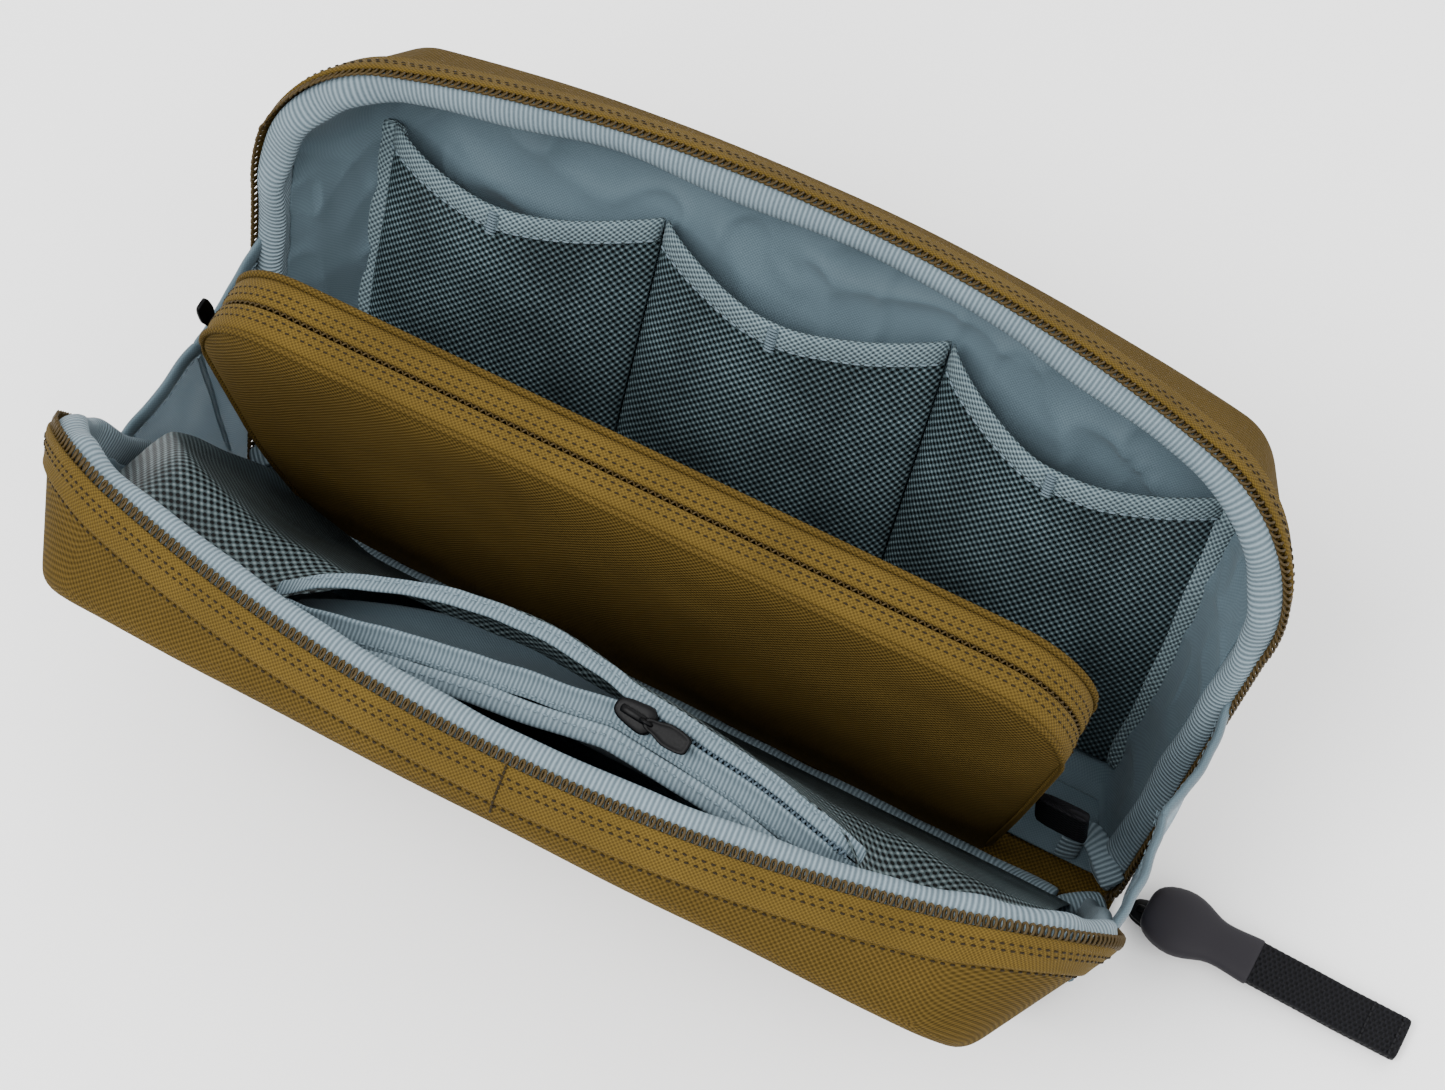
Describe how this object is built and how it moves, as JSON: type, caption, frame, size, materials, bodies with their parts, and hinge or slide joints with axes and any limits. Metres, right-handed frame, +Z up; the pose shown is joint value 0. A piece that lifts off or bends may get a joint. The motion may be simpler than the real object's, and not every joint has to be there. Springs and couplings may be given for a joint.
{
  "type": "cable organizer pouch",
  "caption": "Zipped canvas pouch that opens on its spine, with a zipped divider, mesh pockets, a slip pocket and a webbing zipper puller.",
  "frame": {"origin": "middle of the spine's underside, where the open pouch rests", "axes": "+X along the pouch towards the main zipper's puller, +Y towards the rear half with the mesh pockets, +Z up"},
  "size_m": [0.3003, 0.1588, 0.1122],
  "materials": {
    "canvas": "heavy woven polyester canvas, olive brown",
    "knit_tape": "close woven zipper tape, olive brown",
    "olive_coil": "nylon coil zipper teeth, dark olive",
    "foam": "closed-cell foam sheet, grey",
    "lining_cloth": "plain woven lining, pale blue-grey",
    "grosgrain": "ribbed binding tape, pale blue-grey",
    "air_mesh": "warp-knit spacer mesh, grey-teal",
    "slider_metal": "black painted die-cast zinc",
    "black_plastic": "black moulded acetal",
    "rubber": "matte black rubber boot",
    "webbing": "black ribbed webbing"
  },
  "bodies": {
    "spine": {"left_gusset": "lining_cloth", "main_slider": "slider_metal", "right_gusset": "lining_cloth", "spine_facing": "lining_cloth", "spine_panel": "canvas"},
    "front_half": {"front_foam_pad": "foam", "front_lining": "lining_cloth", "front_rim_binding": "grosgrain", "front_shell": "canvas", "front_zipper_coil": "olive_coil", "front_zipper_strip": "knit_tape", "slip_pocket_binding": "grosgrain", "slip_pocket_panel": "lining_cloth", "zip_pocket_back_tape": "grosgrain", "zip_pocket_coil": "grosgrain", "zip_pocket_front_tape": "grosgrain", "zip_pocket_mesh": "air_mesh"},
    "rear_half": {"mesh_hem_left": "air_mesh", "mesh_hem_middle": "air_mesh", "mesh_hem_right": "air_mesh", "mesh_pocket_left": "air_mesh", "mesh_pocket_middle": "air_mesh", "mesh_pocket_right": "air_mesh", "rear_foam_pad": "foam", "rear_lining": "lining_cloth", "rear_rim_binding": "grosgrain", "rear_shell": "canvas", "rear_zipper_coil": "olive_coil", "rear_zipper_strip": "knit_tape"},
    "divider": {"divider_coil": "olive_coil", "divider_foot_hem": "canvas", "divider_front_band": "knit_tape", "divider_front_panel": "canvas", "divider_pull_tab": "webbing", "divider_rear_band": "knit_tape", "divider_rear_panel": "canvas"},
    "pocket_slider": {"zip_pocket_slider": "slider_metal"},
    "pocket_puller": {"zip_pocket_puller": "black_plastic"},
    "divider_slider_body": {"divider_slider": "slider_metal"},
    "divider_puller_body": {"divider_puller": "black_plastic"},
    "main_puller": {"main_puller_webbing": "webbing", "main_puller_sleeve": "rubber"}
  },
  "joints": [
    {"name": "front_half_fold", "type": "hinge", "parent": "spine", "child": "front_half", "pos_m": [0, -0.011, 0], "axis": [1, 0, 0], "range_deg": [-25, 0], "deforming": ["left_gusset", "right_gusset", "zip_pocket_mesh", "zip_pocket_front_tape"]},
    {"name": "rear_half_fold", "type": "hinge", "parent": "spine", "child": "rear_half", "pos_m": [0, 0.011, 0], "axis": [1, 0, 0], "range_deg": [0, 25], "deforming": ["left_gusset", "right_gusset", "zip_pocket_mesh"]},
    {"name": "divider_lean", "type": "hinge", "parent": "spine", "child": "divider", "pos_m": [-0.004, 0.0011, 0.006], "axis": [1, 0, 0], "range_deg": [-3.3, 0]},
    {"name": "pocket_slider_travel", "type": "hinge", "parent": "front_half", "child": "pocket_slider", "pos_m": [0.005, -0.15193, -0.06572], "axis": [0, -0.4226, 0.9063], "range_deg": [-14, 24]},
    {"name": "pocket_puller_flip", "type": "hinge", "parent": "pocket_slider", "child": "pocket_puller", "pos_m": [0.02448, -0.04879, 0.10452], "axis": [-0.0901, -0.9026, -0.4209], "range_deg": [0, 150]},
    {"name": "divider_slider_travel", "type": "slide", "parent": "divider", "child": "divider_slider_body", "axis": [0.1724, 0.0567, -0.9834], "range_m": [0, 0.038]},
    {"name": "divider_puller_flip", "type": "hinge", "parent": "divider_slider_body", "child": "divider_puller_body", "pos_m": [-0.1058, -0.00332, 0.08268], "axis": [0, -0.9983, -0.0576], "range_deg": [0, 150]},
    {"name": "main_puller_swing", "type": "hinge", "parent": "spine", "child": "main_puller", "pos_m": [0.1175, 0.003, 0.0066], "axis": [0, 1, 0], "range_deg": [-80, 0]}
  ],
  "couplings": [
    {"joint": "divider_lean", "follows": "front_half_fold", "ratio": 0.132}
  ]
}
